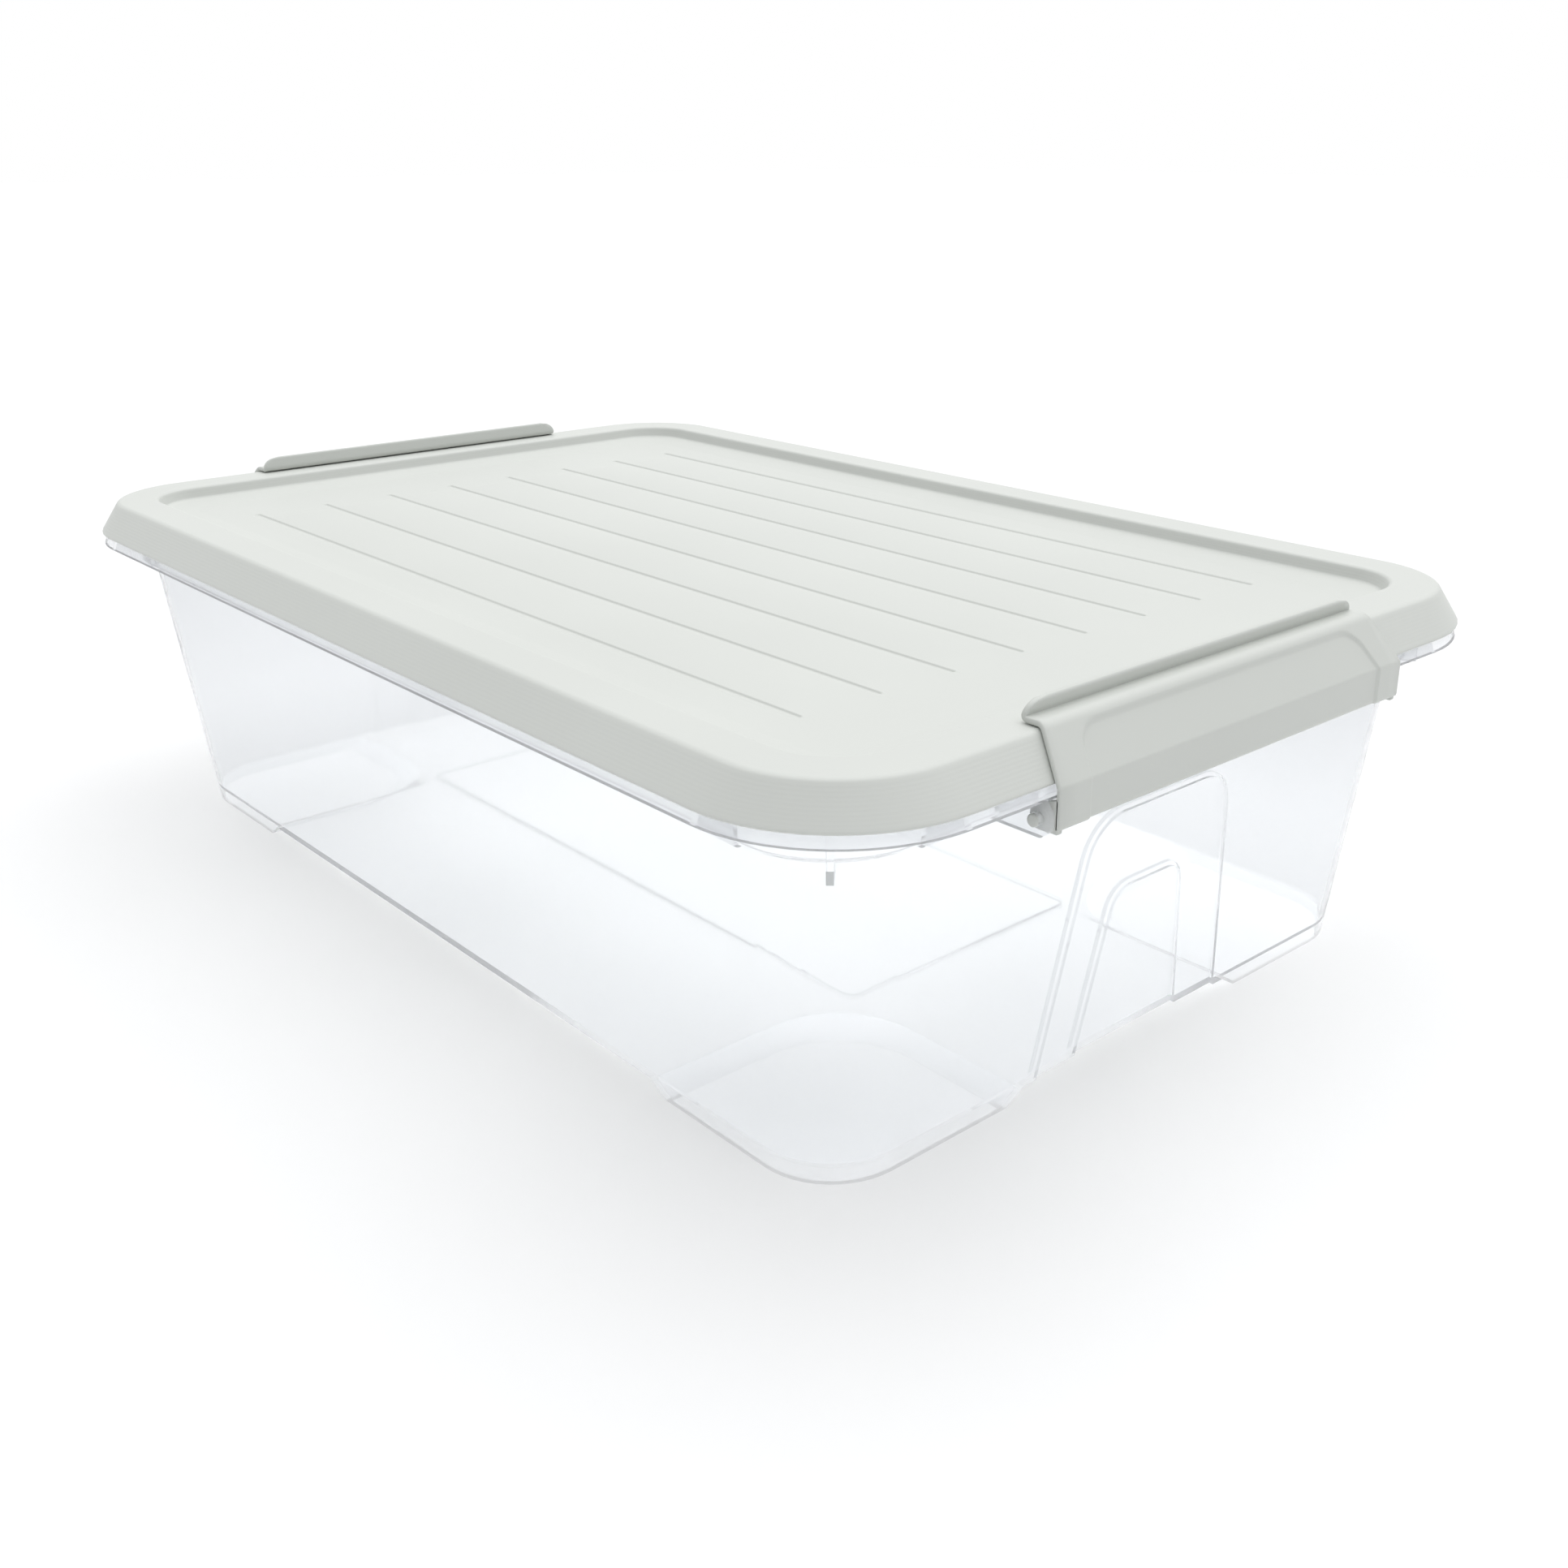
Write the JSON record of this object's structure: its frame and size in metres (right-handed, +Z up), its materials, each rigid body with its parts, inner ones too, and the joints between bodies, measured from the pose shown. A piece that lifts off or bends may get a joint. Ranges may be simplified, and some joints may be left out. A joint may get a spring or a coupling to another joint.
{
  "type": "under bed storage box",
  "caption": "Low clear tapered storage box with a ribbed lid held down by a hinged clip at each end, for sliding under a bed.",
  "frame": {"origin": "centre of the footprint, at floor level", "axes": "+X along the length towards one clip, +Y across the width, +Z up"},
  "size_m": [0.607, 0.39, 0.1702],
  "materials": {
    "tub": "clear moulded polypropylene, smooth and faintly hazy",
    "lid": "opaque pale grey moulded polypropylene, fine matte grain",
    "clips": "opaque pale grey moulded polypropylene, fine matte grain"
  },
  "bodies": {
    "tub": {"tub": "tub"},
    "lid": {"lid": "lid"},
    "clip_right": {"clip_right": "clips"},
    "clip_left": {"clip_left": "clips"}
  },
  "joints": [
    {"name": "lid_lift", "type": "slide", "parent": "tub", "child": "lid", "axis": [0, 0, 1], "range_m": [0, 0.02443]},
    {"name": "clip_right_hinge", "type": "hinge", "parent": "tub", "child": "clip_right", "pos_m": [0.295, 0, 0.1355], "axis": [0, 1, 0], "range_deg": [0, 140]},
    {"name": "clip_left_hinge", "type": "hinge", "parent": "tub", "child": "clip_left", "pos_m": [-0.295, 0, 0.1355], "axis": [0, -1, 0], "range_deg": [0, 140]}
  ],
  "couplings": [
    {"joint": "clip_right_hinge", "follows": "lid_lift", "rad_per_m": 100},
    {"joint": "clip_left_hinge", "follows": "lid_lift", "rad_per_m": 100}
  ]
}
